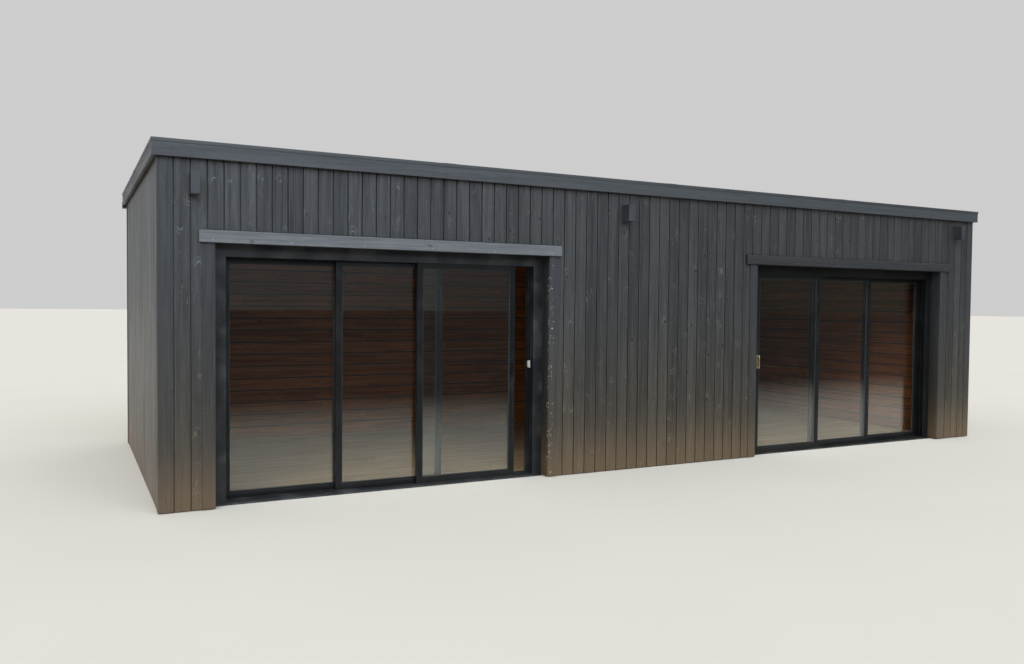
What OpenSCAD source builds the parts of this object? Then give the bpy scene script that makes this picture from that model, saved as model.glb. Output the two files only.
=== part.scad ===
// Long flat-roofed garden pod in vertical dark boards, with two three-track sliding door sets.
// Millimetres. +X runs along the front from left to right, -Y is the front, +Z is up.
// The origin is on the ground, below the middle of the outline seen from above.

/* [Body] */
// Length of the body over the cladding
body_l = 9728; // [8600:1:12000]
// Depth of the body over the cladding
body_d = 3800; // [2400:1:5200]
// Height from the ground to the top of the roof trim
total_h = 2900; // [2820:1:3300]
// Thickness of a wall with its cladding and lining
wall_t = 350; // [345:1:450]
// Thickness of the floor
floor_t = 22; // [12:1:25]

/* [Cladding] */
// Thickness of the vertical boards
clad_t = 22; // [15:1:30]
// How far the boards reach up behind the fascia
clad_tuck = 12; // [5:1:20]
// Gap between the boards and the ground
clad_gap = 8; // [4:1:20]
// Width of a corner board
corner_w = 100; // [70:1:140]
// How far a corner board stands out from the cladding
corner_out = 6; // [2:1:12]

/* [Roof] */
// Depth of the roof from the top of the walls to the top of the fascia
roof_d = 256; // [200:1:320]
// Height of the fascia board
fascia_h = 130; // [110:1:180]
// Thickness of the fascia board
fascia_t = 25; // [18:1:35]
// How far the roof deck stands out over the cladding
eaves_out = 20; // [10:1:40]
// Drop of the roof from the front to the back
roof_fall = 50; // [20:1:70]
// Width of the kerb round the roof
kerb_w = 45; // [30:1:80]
// Height of the kerb over the roof at the front
kerb_h = 24; // [15:1:40]
// Thickness of the rubber roof sheet
sheet_t = 3; // [2:1:5]
// Drop of the drip edge of the sheet at the back
drip_h = 14; // [8:1:25]
// Gap between the drip edge and the gutter
drip_gap = 3; // [2:1:10]
// Thickness of the metal edge trim
edge_t = 4; // [3:1:8]
// Height of the lip of the edge trim on the fascia
edge_lip = 24; // [15:1:40]

/* [Doorways] */
// Width of each doorway between its lining boards
door_w = 3038; // [2400:1:3200]
// Height of each doorway under its lining board
door_h = 2120; // [1900:1:2200]
// From the left end of the cladding to the left doorway
left_door_in = 421; // [300:1:700]
// From the right end of the cladding to the right doorway
right_door_in = 608; // [340:1:700]
// Depth of the reveal in front of the door frame
reveal_d = 120; // [100:1:150]
// Thickness of the boards that line a reveal
reveal_t = 20; // [15:1:25]

/* [Door trim] */
// Width of the casing boards beside a doorway
casing_w = 100; // [60:1:130]
// How far a casing stands out from the cladding
casing_out = 12; // [6:1:25]
// Height of the board over a doorway
head_h = 103; // [80:1:140]
// How far the board over the left doorway runs past the casings
left_head_over = 22; // [0:1:70]
// How far the board over the right doorway runs past the casings
right_head_over = 65; // [0:1:110]
// How far the board over a doorway stands out from the cladding
head_out = 35; // [20:1:45]
// Drop of the top of this board towards its front edge
head_slope = 8; // [2:1:15]
// Width and depth of the drip groove under this board
groove_w = 6; // [4:1:8]

/* [Door frame] */
// Width of the frame that shows at its sides and head
frame_face = 100; // [80:1:120]
// Depth of the channels in the frame
channel_d = 24; // [20:1:30]
// Distance from one track to the next
track_pitch = 50; // [49:1:60]
// Thickness of the fins between the tracks
fin_t = 6; // [4:1:8]
// Height of the floor of the sill channels
sill_base = 12; // [8:1:14]
// Height of the sill
sill_h = 26; // [24:1:32]
// How far the nose of the sill stands out in front of the frame
nose_d = 24; // [10:1:40]
// Height of the front edge of the nose
nose_h = 5; // [3:1:8]
// Width of the rail that the rollers run on
rail_w = 10; // [6:1:14]
// Height of the rail over the floor of the channel
rail_h = 6; // [4:1:8]

/* [Door panels] */
// Width of the upright bars of a panel
stile_w = 55; // [45:1:75]
// Height of the top and bottom bars of a panel
bar_h = 58; // [50:1:80]
// How far a shut panel reaches into the frame
panel_reach = 12; // [8:1:16]
// Thickness of the glass unit
glass_t = 24; // [16:1:26]
// How far the glass reaches into the bars
glass_bite = 12; // [8:1:20]
// Width of the glazing beads
bead_w = 14; // [13:1:20]
// How far the beads are set back from the face of the bars
bead_in = 3; // [1:1:4]
// Width of the interlock fins
lock_w = 10; // [6:1:16]
// How far an interlock fin stands out from its panel
lock_out = 5; // [3:1:5]
// Clearance between a panel and the fins
panel_clear = 5; // [5:1:6]
// Radius of the rollers under a panel
roller_r = 16; // [12:1:20]
// Width of a roller
roller_w = 8; // [6:1:10]
// Running gap between a roller and its rail
roller_gap = 0.3; // [0.1:0.1:0.5]
// How far the leading panel on the left stands open
left_ajar = 205; // [0:1:400]
// How far the leading panel on the right stands open
right_ajar = 30; // [0:1:400]

/* [Handles] */
// Height of the middle of a handle
handle_z = 1040; // [900:1:1150]
// From the edge of a leading panel to the middle of its handle
handle_in = 29; // [29:1:30]
// Length of the grip on the right
grip_l = 150; // [100:1:270]
// How far the grip stands out from the panel
grip_out = 38; // [34:1:60]
// Diameter of the grip
grip_d = 14; // [10:1:20]
// Diameter of the arms of the grip
arm_d = 10; // [6:1:14]
// Width of the plates behind the handles
plate_w = 22; // [18:1:24]
// Thickness of the plates behind the handles
plate_t = 4; // [2:1:5]
// Length of the flush pull on the left
pull_l = 150; // [100:1:220]
// Width of the rim round the finger pocket of the flush pull
pull_rim = 4; // [3:1:5]
// Depth of the finger pocket
pull_d = 13; // [6:1:14]
// Thickness of the wall of the finger pocket
pull_t = 2; // [1:1:3]

/* [Wall lights] */
// Width of a light
light_w = 68; // [50:1:75]
// How far a light stands out from the cladding
light_out = 115; // [80:1:140]
// Height of a light
light_h = 166; // [120:1:210]
// From the fascia down to the top of the left and middle lights
light_drop = 113; // [60:1:150]
// From the fascia down to the top of the right light
light_right_drop = 70; // [40:1:150]
// Thickness of the metal of a light
light_t = 4; // [2:1:6]
// Depth of the pocket at each end of a light
light_pocket = 30; // [15:1:60]
// From the left end of the cladding to the left light
light_left_in = 263; // [150:1:280]
// From the middle of the body to the middle light, towards the left
light_mid_in = 535; // [0:1:900]
// From the right end of the cladding to the right light
light_right_in = 332; // [210:1:400]

/* [Rainwater] */
// Width of the box gutter
gutter_w = 110; // [90:1:140]
// Height of the box gutter
gutter_h = 75; // [60:1:100]
// From the edge of the roof down to the rim of the gutter
gutter_drop = 8; // [4:1:15]
// Number of lengths that the gutter is made of
gutter_n = 5; // [3:1:8]
// Gap between two lengths of the gutter
joint_gap = 0.3; // [0.2:0.1:0.5]
// Length of the socket at the end of a length
socket_l = 70; // [40:1:100]
// Thickness of a socket outside the gutter
socket_t = 3; // [2:1:5]
// Thickness of the gutter
gutter_t = 3; // [2:1:5]
// Diameter of the downpipe
pipe_d = 68; // [50:1:80]
// From the left end of the cladding to the downpipe
pipe_in = 160; // [120:1:500]
// Gap between the foot of the downpipe and the ground
foot_z = 45; // [20:1:90]
// Height of the socket at the foot
foot_h = 60; // [40:1:90]
// Depth of the opening in the foot
foot_bore = 12; // [8:1:30]
// Number of clips that hold the downpipe
clip_n = 3; // [2:1:4]
// Height of the lowest clip, and drop from the gutter to the highest
clip_z = 320; // [250:1:450]
// Height of a clip
clip_h = 26; // [18:1:40]
// Thickness of a clip round the pipe
clip_t = 4; // [3:1:6]

/* [Hidden] */
$fn = 48;

// Faces of the body: the front and back cladding, and the left and right ends
back_out = eaves_out + fascia_t + gutter_w;
front_y = -(light_out + body_d + back_out) / 2 + light_out;
back_y = front_y + body_d;
left_x = -body_l / 2;
right_x = body_l / 2;

// Doorways
left_door_x = left_x + left_door_in;
right_door_x = right_x - right_door_in - door_w;

// Door frame, with its tracks counted from the outside
track_n = 3;
frame_d = track_n * track_pitch + fin_t;
frame_y = front_y + reveal_d;
channel_w = track_pitch - fin_t;
solid_face = frame_face - channel_d;
clear_w = door_w - 2 * frame_face;

// Door panels
panel_t = channel_w - 2 * panel_clear;
panel_w = (clear_w + 2 * panel_reach + (track_n - 1) * stile_w) / track_n;
panel_step = panel_w - stile_w;
rail_top = sill_base + rail_h;
roller_z = rail_top + roller_gap + roller_r;
panel_z = rail_top + panel_clear;
panel_top = door_h - frame_face + panel_reach;
lock_in = panel_reach + panel_clear;
left_end_x = left_door_x + frame_face - panel_reach;
right_end_x = right_door_x + frame_face - panel_reach;
left_middle_x = left_end_x + panel_step;
left_leading_x = left_end_x + 2 * panel_step - left_ajar;
right_leading_x = right_end_x + right_ajar;
right_middle_x = right_end_x + panel_step;
right_fixed_x = right_end_x + 2 * panel_step;

// Roof
fascia_top = total_h - edge_t;
fascia_z = fascia_top - fascia_h;
wall_h = fascia_top - roof_d;
clad_top = fascia_z + clad_tuck;
roof_front_z = fascia_top - kerb_h - sheet_t;
roof_back_z = roof_front_z - roof_fall;
deck_l = body_l + 2 * eaves_out;
deck_front_y = front_y - eaves_out;
deck_back_y = back_y + eaves_out;

// Rainwater
gutter_front_y = deck_back_y + fascia_t;
gutter_back_y = gutter_front_y + gutter_w;
gutter_top = roof_back_z - gutter_drop;
gutter_z = gutter_top - gutter_h;
gutter_end = deck_l / 2 + fascia_t;
gutter_l = 2 * gutter_end / gutter_n;
pipe_x = left_x + pipe_in;
pipe_y = gutter_front_y + gutter_w / 2;

function track_y(i) = frame_y + fin_t + i * track_pitch + channel_w / 2;
function roof_z(y) = roof_front_z - roof_fall * (y - deck_front_y) / (deck_back_y - deck_front_y);

// A straight length along X of an outline given as [y, z] points
module along_x(x0, x1, points) {
    translate([x0, 0, 0])
        rotate([90, 0, 90])
            linear_extrude(height = x1 - x0)
                polygon(points);
}

module box_to(low, high) {
    translate(low)
        cube(high - low);
}

// The floor fills the room and runs out to the sill of each doorway
module floor_panel() {
    color("burlywood") {
        box_to([left_x + wall_t, front_y + wall_t, 0], [right_x - wall_t, back_y - wall_t, floor_t]);
        for (door_x = [left_door_x, right_door_x])
            box_to([door_x, frame_y + frame_d, 0], [door_x + door_w, front_y + wall_t, floor_t]);
    }
}

// A stretch of the front wall between two places along it
module front_wall_piece(x0, x1, z0) {
    color("tan")
        box_to([x0, front_y + clad_t, z0], [x1, front_y + wall_t, wall_h]);
}

module front_wall_left() {
    front_wall_piece(left_x + clad_t, left_door_x - reveal_t, 0);
}

module front_wall_middle() {
    front_wall_piece(left_door_x + door_w + reveal_t, right_door_x - reveal_t, 0);
}

module front_wall_right() {
    front_wall_piece(right_door_x + door_w + reveal_t, right_x - clad_t, 0);
}

module front_wall_over(door_x) {
    front_wall_piece(door_x - reveal_t, door_x + door_w + reveal_t, door_h + reveal_t);
}

module back_wall() {
    color("tan")
        box_to([left_x + clad_t, back_y - wall_t, 0], [right_x - clad_t, back_y - clad_t, wall_h]);
}

module side_wall(x0, x1) {
    color("tan")
        box_to([x0, front_y + wall_t, 0], [x1, back_y - wall_t, wall_h]);
}

// The outline that the boards leave free for one doorway and its trim
module doorway_notch(door_x, head_over) {
    translate([door_x - casing_w, 0])
        square([door_w + 2 * casing_w, door_h + head_h]);
    translate([door_x - casing_w - head_over, door_h])
        square([door_w + 2 * (casing_w + head_over), head_h]);
}

module front_cladding() {
    color("#33373a")
        translate([0, front_y + clad_t, 0])
            rotate([90, 0, 0])
                linear_extrude(height = clad_t)
                    difference() {
                        translate([left_x - corner_out + corner_w, clad_gap])
                            square([body_l + 2 * corner_out - 2 * corner_w, clad_top - clad_gap]);
                        doorway_notch(left_door_x, left_head_over);
                        doorway_notch(right_door_x, right_head_over);
                    }
}

module back_cladding() {
    color("#33373a")
        box_to([left_x - corner_out + corner_w, back_y - clad_t, clad_gap],
               [right_x + corner_out - corner_w, back_y, clad_top]);
}

module side_cladding(x0) {
    color("#33373a")
        box_to([x0, front_y - corner_out + corner_w, clad_gap],
               [x0 + clad_t, back_y + corner_out - corner_w, clad_top]);
}

// Two boards that meet at a corner of the body, drawn for the corner at the front left
module corner_trim() {
    translate([left_x - corner_out, front_y - corner_out, clad_gap])
        linear_extrude(height = clad_top - clad_gap)
            difference() {
                square(corner_w);
                translate([clad_t + corner_out, clad_t + corner_out])
                    square(corner_w);
            }
}

module corner_trims() {
    color("#2b2f31") {
        corner_trim();
        mirror([1, 0, 0])
            corner_trim();
    }
}

module front_corner_trims() {
    corner_trims();
}

module back_corner_trims() {
    translate([0, front_y + back_y, 0])
        mirror([0, 1, 0])
            corner_trims();
}

// The insulated deck fills the body between the wall faces, and its upper part stands out to
// carry the fascias. A kerb runs round three sides, and the back is left open for the water.
module roof_deck() {
    color("burlywood") {
        box_to([left_x + clad_t, front_y + clad_t, wall_h], [right_x - clad_t, back_y - clad_t, clad_top]);
        along_x(-deck_l / 2, deck_l / 2, [
            [deck_front_y, clad_top],
            [deck_back_y, clad_top],
            [deck_back_y, roof_z(deck_back_y)],
            [deck_front_y + kerb_w, roof_z(deck_front_y + kerb_w)],
            [deck_front_y + kerb_w, fascia_top],
            [deck_front_y, fascia_top]
        ]);
        for (x = [-deck_l / 2, deck_l / 2 - kerb_w]) {
            box_to([x, deck_front_y, clad_top], [x + kerb_w, deck_back_y, fascia_top]);
            box_to([x, deck_front_y, roof_back_z], [x + kerb_w, deck_back_y + fascia_t, fascia_top]);
        }
    }
}

// The rubber sheet lies on the deck, turns up the inner face of the kerb, laps over the back
// fascia and drips into the gutter
module roof_sheet() {
    inner_x = deck_l / 2 - kerb_w;
    inner_y = deck_front_y + kerb_w;
    drip_y = gutter_front_y + gutter_t + drip_gap;
    color("#2a2c2e") {
        along_x(-inner_x, inner_x, [
            [inner_y, roof_z(inner_y)],
            [deck_back_y, roof_back_z],
            [drip_y, roof_back_z],
            [drip_y, roof_back_z - drip_h],
            [drip_y + sheet_t, roof_back_z - drip_h],
            [drip_y + sheet_t, roof_back_z + sheet_t],
            [deck_back_y, roof_back_z + sheet_t],
            [inner_y + sheet_t, roof_z(inner_y + sheet_t) + sheet_t],
            [inner_y + sheet_t, fascia_top],
            [inner_y, fascia_top]
        ]);
        for (x = [-inner_x, inner_x - sheet_t])
            along_x(x, x + sheet_t, [
                [inner_y, roof_z(inner_y)],
                [deck_back_y, roof_back_z],
                [deck_back_y, fascia_top],
                [inner_y, fascia_top]
            ]);
    }
}

// An angle of folded metal that caps the kerb and the fascia on three sides
module roof_edge_trim() {
    out = fascia_t + edge_t;
    inside = kerb_w + sheet_t;
    outer_x = deck_l / 2 + out;
    color("#3a3d40")
        difference() {
            box_to([-outer_x, deck_front_y - out, fascia_top - edge_lip],
                   [outer_x, deck_back_y + fascia_t, total_h]);
            box_to([-outer_x + edge_t, deck_front_y - fascia_t, 0],
                   [outer_x - edge_t, deck_back_y + body_d, fascia_top]);
            box_to([-outer_x + out + inside, deck_front_y + inside, 0],
                   [outer_x - out - inside, deck_back_y + body_d, total_h + edge_t]);
        }
}

module front_fascia() {
    color("#3b3f42")
        box_to([-deck_l / 2 - fascia_t, deck_front_y - fascia_t, fascia_z],
               [deck_l / 2 + fascia_t, deck_front_y, fascia_top]);
}

module side_fascia(x0) {
    color("#3b3f42")
        box_to([x0, deck_front_y, fascia_z], [x0 + fascia_t, deck_back_y + fascia_t, fascia_top]);
}

module back_fascia() {
    color("#3b3f42")
        box_to([-deck_l / 2, deck_back_y, fascia_z], [deck_l / 2, deck_back_y + fascia_t, roof_back_z]);
}

// The casings, the board over them and the boards that line the reveal back to the door frame
module door_surround(door_x, head_over) {
    face_y = front_y + clad_t;
    color("#33373a") {
        for (x = [door_x - casing_w, door_x + door_w])
            box_to([x, front_y - casing_out, clad_gap], [x + casing_w, face_y, door_h]);
        along_x(door_x - casing_w - head_over, door_x + door_w + casing_w + head_over, [
            [front_y - head_out, door_h],
            [front_y - head_out + groove_w, door_h],
            [front_y - head_out + groove_w, door_h + groove_w],
            [front_y - head_out + 2 * groove_w, door_h + groove_w],
            [front_y - head_out + 2 * groove_w, door_h],
            [face_y, door_h],
            [face_y, door_h + head_h],
            [front_y, door_h + head_h],
            [front_y - head_out, door_h + head_h - head_slope]
        ]);
        for (x = [door_x - reveal_t, door_x + door_w])
            box_to([x, face_y, clad_gap], [x + reveal_t, front_y + wall_t, door_h + reveal_t]);
        box_to([door_x - reveal_t, face_y, door_h],
               [door_x + door_w + reveal_t, front_y + wall_t, door_h + reveal_t]);
    }
}

// A frame with three channels all round. The sill is low, each of its channels has a rail, and a
// sloped nose throws the rain clear of it.
module door_frame(door_x) {
    color("#1c1e20") {
        difference() {
            box_to([door_x, frame_y, 0], [door_x + door_w, frame_y + frame_d, door_h]);
            box_to([door_x + frame_face, frame_y - 1, sill_h],
                   [door_x + door_w - frame_face, frame_y + frame_d + 1, door_h - frame_face]);
            for (i = [0 : track_n - 1])
                box_to([door_x + solid_face, track_y(i) - channel_w / 2, sill_base],
                       [door_x + door_w - solid_face, track_y(i) + channel_w / 2, door_h - solid_face]);
        }
        for (i = [0 : track_n - 1])
            box_to([door_x + solid_face, track_y(i) - rail_w / 2, sill_base],
                   [door_x + door_w - solid_face, track_y(i) + rail_w / 2, rail_top]);
        along_x(door_x, door_x + door_w, [
            [frame_y - nose_d, 0],
            [frame_y, 0],
            [frame_y, sill_base],
            [frame_y - nose_d, nose_h]
        ]);
    }
}

// A block centred on a track, inset from the edges of a panel
module panel_block(x, track, in_x, in_z, thickness) {
    box_to([x + in_x, track_y(track) - thickness / 2, panel_z + in_z],
           [x + panel_w - in_x, track_y(track) + thickness / 2, panel_top - in_z]);
}

// The upright fin by which one panel catches the next, on the given edge and face of a panel.
// It stands in from the edge, so that it stops short of the side of the frame.
module interlock(x, track, edge, face) {
    x0 = edge < 0 ? x + lock_in : x + panel_w - lock_in - lock_w;
    y0 = track_y(track) + (face < 0 ? -panel_t / 2 - lock_out : panel_t / 2);
    box_to([x0, y0, sill_h + panel_clear],
           [x0 + lock_w, y0 + lock_out, door_h - frame_face - panel_clear]);
}

// Four bars with set-back glazing beads round the glass, on two rollers. The locks are the
// [edge, face] pairs that carry an interlock fin.
module panel_bars(x, track, locks) {
    color("#17191b")
        difference() {
            union() {
                difference() {
                    panel_block(x, track, 0, 0, panel_t);
                    panel_block(x, track, stile_w - bead_w, bar_h - bead_w, panel_t + 2);
                }
                panel_block(x, track, stile_w - bead_w, bar_h - bead_w, panel_t - 2 * bead_in);
                for (roller_x = [x + 2 * stile_w, x + panel_w - 2 * stile_w])
                    translate([roller_x, track_y(track) + roller_w / 2, roller_z])
                        rotate([90, 0, 0])
                            cylinder(r = roller_r, h = roller_w);
                for (lock = locks)
                    interlock(x, track, lock[0], lock[1]);
            }
            panel_block(x, track, stile_w, bar_h, panel_t + 2);
            panel_glass(x, track);
        }
}

module panel_glass(x, track) {
    color([0.62, 0.72, 0.74, 0.45])
        panel_block(x, track, stile_w - glass_bite, bar_h - glass_bite, glass_t);
}

// A round grip on two short arms and a plate, on the outside of the leading panel's upright
module grip_handle(x) {
    face_y = track_y(0) - panel_t / 2;
    grip_y = face_y - grip_out + grip_d / 2;
    color("#a08a58") {
        translate([x, grip_y, handle_z - grip_l / 2])
            cylinder(d = grip_d, h = grip_l);
        for (z = [handle_z - grip_l / 2 + grip_d, handle_z + grip_l / 2 - grip_d])
            translate([x, face_y, z])
                rotate([90, 0, 0])
                    cylinder(d = arm_d, h = face_y - grip_y);
        box_to([x - plate_w / 2, face_y - plate_t, handle_z - grip_l / 2],
               [x + plate_w / 2, face_y, handle_z + grip_l / 2]);
    }
}

// The outside of the cup that a flush pull sinks into the leading panel's upright
module pull_cup(x) {
    face_y = track_y(0) - panel_t / 2;
    cup_w = plate_w - 2 * pull_rim + 2 * pull_t;
    cup_l = pull_l - 2 * pull_rim + 2 * pull_t;
    box_to([x - cup_w / 2, face_y - 1, handle_z - cup_l / 2],
           [x + cup_w / 2, face_y - plate_t + pull_d + pull_t, handle_z + cup_l / 2]);
}

// A thin plate round a finger pocket that is let into the upright
module flush_pull(x) {
    face_y = track_y(0) - panel_t / 2;
    color("#1f2123")
        difference() {
            union() {
                box_to([x - plate_w / 2, face_y - plate_t, handle_z - pull_l / 2],
                       [x + plate_w / 2, face_y, handle_z + pull_l / 2]);
                pull_cup(x);
            }
            box_to([x - plate_w / 2 + pull_rim, face_y - plate_t - 1, handle_z - pull_l / 2 + pull_rim],
                   [x + plate_w / 2 - pull_rim, face_y - plate_t + pull_d, handle_z + pull_l / 2 - pull_rim]);
        }
}

// A box light that shines up and down from a pocket at each end
module wall_light(x, drop) {
    z0 = fascia_z - drop - light_h;
    z1 = fascia_z - drop;
    color("#151617")
        difference() {
            box_to([x - light_w / 2, front_y - light_out, z0], [x + light_w / 2, front_y, z1]);
            for (z = [z0 - 1, z1 - light_pocket])
                box_to([x - light_w / 2 + light_t, front_y - light_out + light_t, z],
                       [x + light_w / 2 - light_t, front_y - light_t, z + light_pocket + 1]);
        }
}

// One length of the gutter, with a thicker socket at its right end that takes the next length.
// The first and last have a closed end.
module gutter_length(i) {
    x0 = -gutter_end + i * gutter_l + (i == 0 ? 0 : joint_gap);
    x1 = -gutter_end + (i + 1) * gutter_l;
    difference() {
        box_to([x0, gutter_front_y, gutter_z], [x1, gutter_back_y - socket_t, gutter_top]);
        box_to([i == 0 ? x0 + gutter_t : x0 - 1, gutter_front_y + gutter_t, gutter_z + gutter_t],
               [i == gutter_n - 1 ? x1 - gutter_t : x1 + 1,
                gutter_back_y - socket_t - gutter_t, gutter_top + 1]);
        if (i == 0)
            translate([pipe_x, pipe_y, gutter_z - 1])
                cylinder(d = pipe_d - 2 * gutter_t, h = gutter_h);
    }
    if (i < gutter_n - 1) {
        box_to([x1 - socket_l, gutter_front_y, gutter_z - socket_t], [x1, gutter_back_y, gutter_z]);
        box_to([x1 - socket_l, gutter_back_y - socket_t, gutter_z], [x1, gutter_back_y, gutter_top]);
    }
}

module back_gutter() {
    color("#26282a")
        for (i = [0 : gutter_n - 1])
            gutter_length(i);
}

// A round pipe held to the wall by clips, with a socket at its open foot
module downpipe() {
    color("#26282a")
        translate([pipe_x, pipe_y, 0])
            difference() {
                union() {
                    translate([0, 0, foot_z])
                        cylinder(d = pipe_d, h = gutter_z - foot_z);
                    translate([0, 0, foot_z])
                        cylinder(d = pipe_d + 2 * clip_t, h = foot_h);
                    for (i = [0 : clip_n - 1])
                        translate([0, 0, clip_z + i * (gutter_z - 2 * clip_z) / (clip_n - 1)]) {
                            cylinder(d = pipe_d + 2 * clip_t, h = clip_h);
                            box_to([-clip_h / 2, back_y - pipe_y, 0], [clip_h / 2, 0, clip_h]);
                        }
                }
                translate([0, 0, foot_z - 1])
                    cylinder(d = pipe_d - 2 * gutter_t, h = foot_bore + 1);
            }
}

floor_panel();
front_wall_left();
front_wall_middle();
front_wall_right();
front_wall_over(left_door_x);  // front_wall_over_left_door
front_wall_over(right_door_x);  // front_wall_over_right_door
back_wall();
side_wall(left_x + clad_t, left_x + wall_t);  // left_wall
side_wall(right_x - wall_t, right_x - clad_t);  // right_wall
front_cladding();
back_cladding();
side_cladding(left_x);  // left_cladding
side_cladding(right_x - clad_t);  // right_cladding
front_corner_trims();
back_corner_trims();
roof_deck();
roof_sheet();
roof_edge_trim();
front_fascia();
back_fascia();
side_fascia(-deck_l / 2 - fascia_t);  // left_fascia
side_fascia(deck_l / 2);  // right_fascia
door_surround(left_door_x, left_head_over);  // left_door_surround
door_surround(right_door_x, right_head_over);  // right_door_surround
door_frame(left_door_x);  // left_door_frame
door_frame(right_door_x);  // right_door_frame
panel_bars(left_end_x, 2, [[1, -1]]);  // left_fixed_panel
panel_bars(left_middle_x, 1, [[-1, 1], [1, -1]]);  // left_middle_panel
difference() {  // left_leading_panel
        panel_bars(left_leading_x, 0, [[-1, 1]]);
        pull_cup(left_leading_x + panel_w - handle_in);
    }
panel_glass(left_end_x, 2);  // left_fixed_glass
panel_glass(left_middle_x, 1);  // left_middle_glass
panel_glass(left_leading_x, 0);  // left_leading_glass
panel_bars(right_leading_x, 0, [[1, 1]]);  // right_leading_panel
panel_bars(right_middle_x, 1, [[-1, -1], [1, 1]]);  // right_middle_panel
panel_bars(right_fixed_x, 2, [[-1, -1]]);  // right_fixed_panel
panel_glass(right_leading_x, 0);  // right_leading_glass
panel_glass(right_middle_x, 1);  // right_middle_glass
panel_glass(right_fixed_x, 2);  // right_fixed_glass
flush_pull(left_leading_x + panel_w - handle_in);  // left_door_handle
grip_handle(right_leading_x + handle_in);  // right_door_handle
wall_light(left_x + light_left_in, light_drop);  // left_wall_light
wall_light(-light_mid_in, light_drop);  // middle_wall_light
wall_light(right_x - light_right_in, light_right_drop);  // right_wall_light
back_gutter();
downpipe();
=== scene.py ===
# Looks of a long garden office pod in black-stained boards, with two sets of sliding glass doors.
# Metres, in the frame of the construction: +X runs along the front, -Y is the front, +Z is up.
import random
from math import ceil, floor, pi, radians

import bmesh
import bpy
from mathutils import Matrix, Vector


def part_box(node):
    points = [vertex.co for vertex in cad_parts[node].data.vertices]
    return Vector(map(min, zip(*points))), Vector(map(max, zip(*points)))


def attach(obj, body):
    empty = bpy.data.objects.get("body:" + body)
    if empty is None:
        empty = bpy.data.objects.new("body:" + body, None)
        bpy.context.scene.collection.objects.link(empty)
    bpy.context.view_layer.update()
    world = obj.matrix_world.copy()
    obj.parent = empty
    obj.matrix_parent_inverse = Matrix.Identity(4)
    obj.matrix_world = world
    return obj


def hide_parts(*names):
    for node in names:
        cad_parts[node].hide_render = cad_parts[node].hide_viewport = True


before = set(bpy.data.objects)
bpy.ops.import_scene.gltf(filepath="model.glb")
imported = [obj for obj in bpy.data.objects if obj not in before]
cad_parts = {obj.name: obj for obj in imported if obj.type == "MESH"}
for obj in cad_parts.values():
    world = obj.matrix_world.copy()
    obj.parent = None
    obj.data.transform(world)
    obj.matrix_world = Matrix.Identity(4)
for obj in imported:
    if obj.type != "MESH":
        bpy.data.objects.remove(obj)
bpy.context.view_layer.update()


# The studio: the camera stands to the left of the pod at eye height and looks along its front, over
# a plain pale floor. The pod faces a dark screen under a broad glow, with a soft lamp from the left.
CAMERA_PLACE = (-5.472, -9.004, 1.646)
CAMERA_YAW = radians(-27.419)
CAMERA_PITCH = radians(88.217)
CAMERA_ROLL = radians(0.521)
CAMERA_LENS = 30.05
GROUND_SIZE = 400
LOW_SKY = (0.62, 0.63, 0.65, 1)
HIGH_SKY = (0.97, 0.98, 1.0, 1)
GLOW = (3.6, 4.1, 4.7, 1)
GLOW_AIM = Vector((-0.08, -0.91, 0.41))
SCREEN = (0.08, 0.085, 0.075, 1)
LAMP_TILT = radians(48)
LAMP_TURN = radians(-38)


def add_node(tree, kind, inputs, **settings):
    """Add a shader node, with its inputs as numbers, colours or links from other sockets."""
    made = tree.nodes.new(kind)
    for name, value in settings.items():
        setattr(made, name, value)
    for name, value in inputs.items():
        if isinstance(value, bpy.types.NodeSocket):
            tree.links.new(value, made.inputs[name])
        else:
            made.inputs[name].default_value = value
    return made


def ramp(tree, value, low, high, out_low=0.0, out_high=1.0):
    """Take a value between low and high smoothly to the output range."""
    inputs = {"Value": value, "From Min": low, "From Max": high, "To Min": out_low, "To Max": out_high}
    made = add_node(tree, "ShaderNodeMapRange", inputs, interpolation_type="SMOOTHSTEP")
    return made.outputs["Result"]


def sums(tree, operation, first, second):
    """One step of arithmetic on two values."""
    return add_node(tree, "ShaderNodeMath", {0: first, 1: second}, operation=operation).outputs[0]


def times(tree, first, second):
    """One value times another."""
    return sums(tree, "MULTIPLY", first, second)


def vector_sums(tree, operation, first, second=(0, 0, 0)):
    """One step of arithmetic on two vectors."""
    return add_node(tree, "ShaderNodeVectorMath", {0: first, 1: second}, operation=operation).outputs


def split(tree, vector):
    """The X, Y and Z of a vector."""
    return add_node(tree, "ShaderNodeSeparateXYZ", {0: vector}).outputs


def blended(tree, mask, first, second, share=1.0, how="MIX"):
    """Lay the second colour over the first where the mask is 1, all of it or a share."""
    if share != 1.0:
        mask = times(tree, mask, share)
    inputs = {0: mask, 6: first, 7: second}
    return add_node(tree, "ShaderNodeMix", inputs, data_type="RGBA", blend_type=how).outputs[2]


def grey(value):
    """A colour with all three parts alike."""
    return (value, value, value, 1)


def noise(tree, place, scale, detail=2.0):
    """Soft mottling from 0 to 1."""
    inputs = {"Vector": place, "Scale": scale, "Detail": detail}
    return add_node(tree, "ShaderNodeTexNoise", inputs).outputs[0]


def new_material(name, **constants):
    """A material with one Principled shader, given its constant values by socket name. Its node tree
    and the place of a point on the piece come with it."""
    made = bpy.data.materials.new(name)
    made.use_nodes = True
    tree = made.node_tree
    for socket, value in constants.items():
        tree.nodes["Principled BSDF"].inputs[socket.replace("_", " ")].default_value = value
    return made, tree, add_node(tree, "ShaderNodeTexCoord", {}).outputs["Object"]


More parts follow.
